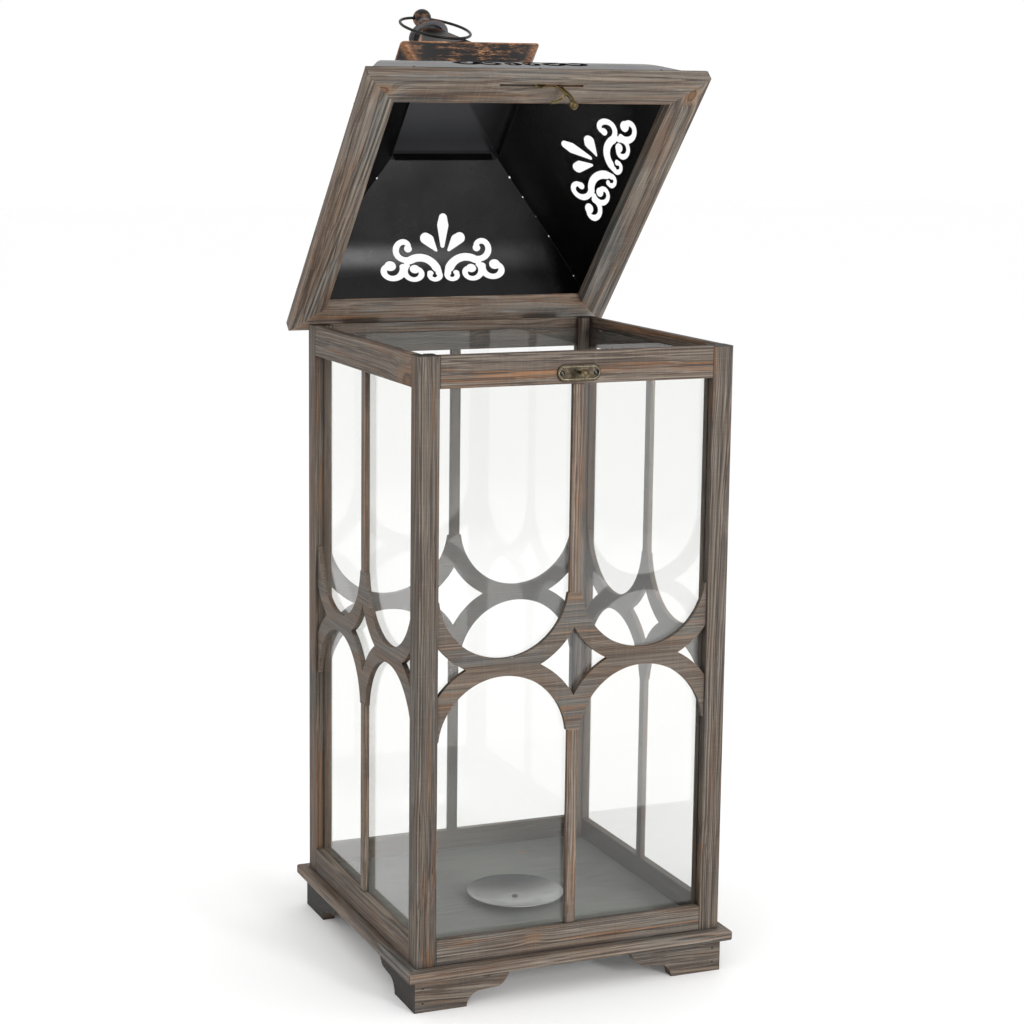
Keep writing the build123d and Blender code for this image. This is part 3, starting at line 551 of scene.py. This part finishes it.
FINISHES = (
    (black_sheet(), [f"roof_panel_{side}" for side in SIDES]),
    (rubbed_bronze("rubbed_bronze_hood", 0.55, corners=True), ["hood", "collar"]),
    (old_brass("antique_brass", rgb(62, 55, 45), rgb(176, 166, 138), 0.10), ["latch_plate"]),
    (old_brass("blackened_screw", rgb(30, 28, 27), rgb(150, 144, 132), 0.06), ["latch_screws"]),
    (old_brass("worn_knob", rgb(78, 66, 48), rgb(190, 176, 142), 0.25), ["latch_pin"]),
    (old_brass("hook_brass", rgb(80, 68, 44), rgb(186, 164, 112), 0.6), ["hook", "hook_pin"]),
    (metal("black_iron", rgb(22, 20, 19), 0.45, 0.3), ["brads", "roof_tacks"]),
    (metal("dark_zinc", rgb(72, 68, 64), 0.42, 0.6), [
        "hinge_body_leaves", "hinge_lid_leaves", "hinge_pins", "hinge_body_screws",
        "hinge_lid_screws", "finial_nut", "dish_rivet",
    ]),
    (floor_board(), ["floor_panel"]),
    (glass((0.952, 0.956, 0.945, 1)), [f"glass_{side}" for side in SIDES]),
    (rubbed_bronze("rubbed_bronze_finial", 0.45), ["finial"]),
    (metal("black_wire", rgb(20, 18, 17), 0.34, 0.0, 0.25), ["ring_handle"]),
    (dish_metal(), ["candle_dish"]),
)
for finish, names in FINISHES:
    for name in names:
        dress(name, finish)


# --------------------------------------------------------------- floor and light
bpy.ops.mesh.primitive_plane_add(size=30)
ground = bpy.context.object
ground.name = "studio_floor"
m, net, shader = material("studio_floor")
shader.inputs["Base Color"].default_value = (0.93, 0.93, 0.93, 1)
shader.inputs["Roughness"].default_value = 0.75
shader.inputs["Emission Color"].default_value = (1, 1, 1, 1)
shader.inputs["Emission Strength"].default_value = 0.06
ground.data.materials.append(m)

scene = bpy.context.scene
world = bpy.data.worlds.new("studio")
scene.world = world
world.use_nodes = True
world.node_tree.nodes["Background"].inputs["Color"].default_value = (1.0, 1.0, 1.0, 1)
world.node_tree.nodes["Background"].inputs["Strength"].default_value = 1.0
scene.view_settings.view_transform = "Standard"


def softbox(name, at, aim, size, power):
    """A rectangular light at one point, facing another."""
    light = bpy.data.lights.new(name, "AREA")
    light.shape = "RECTANGLE"
    light.size, light.size_y = size
    light.energy = power
    obj = bpy.data.objects.new(name, light)
    scene.collection.objects.link(obj)
    obj.location = at
    obj.rotation_euler = (Vector(aim) - Vector(at)).to_track_quat("-Z", "Y").to_euler()


softbox("key", at=(-1.6, -2.2, 2.6), aim=(0, 0, 0.4), size=(1.6, 1.6), power=9)
softbox("fill", at=(2.4, -1.6, 1.2), aim=(0, 0, 0.4), size=(1.4, 2.0), power=4)
softbox("strip", at=(0.60, -2.3, 0.95), aim=(-0.05, 0.2, 0.66), size=(0.42, 0.62), power=26)


# ------------------------------------------------------------------------ camera
def camera(at, heading, down, roll, lens, shift):
    """heading: degrees right of +Y; down: degrees below the horizon; roll: degrees about the view."""
    a, e, t = map(math.radians, (heading, down, roll))
    look = Vector((math.sin(a) * math.cos(e), math.cos(a) * math.cos(e), -math.sin(e)))
    right = Vector((math.cos(a), -math.sin(a), 0))
    up = right.cross(look)
    right, up = right * math.cos(t) + up * math.sin(t), up * math.cos(t) - right * math.sin(t)
    data = bpy.data.cameras.new("camera")
    data.lens = lens
    data.shift_x, data.shift_y = shift
    obj = bpy.data.objects.new("camera", data)
    scene.collection.objects.link(obj)
    obj.matrix_world = Matrix.Translation(at) @ Matrix((right, up, -look)).transposed().to_4x4()
    scene.camera = obj


camera(
    at=(-0.8411, -1.9634, 0.7966),
    heading=21.798,
    down=9.2256,
    roll=0.484,
    lens=81.17,
    shift=(0.0549, -0.0349),
)

bpy.context.view_layer.update()
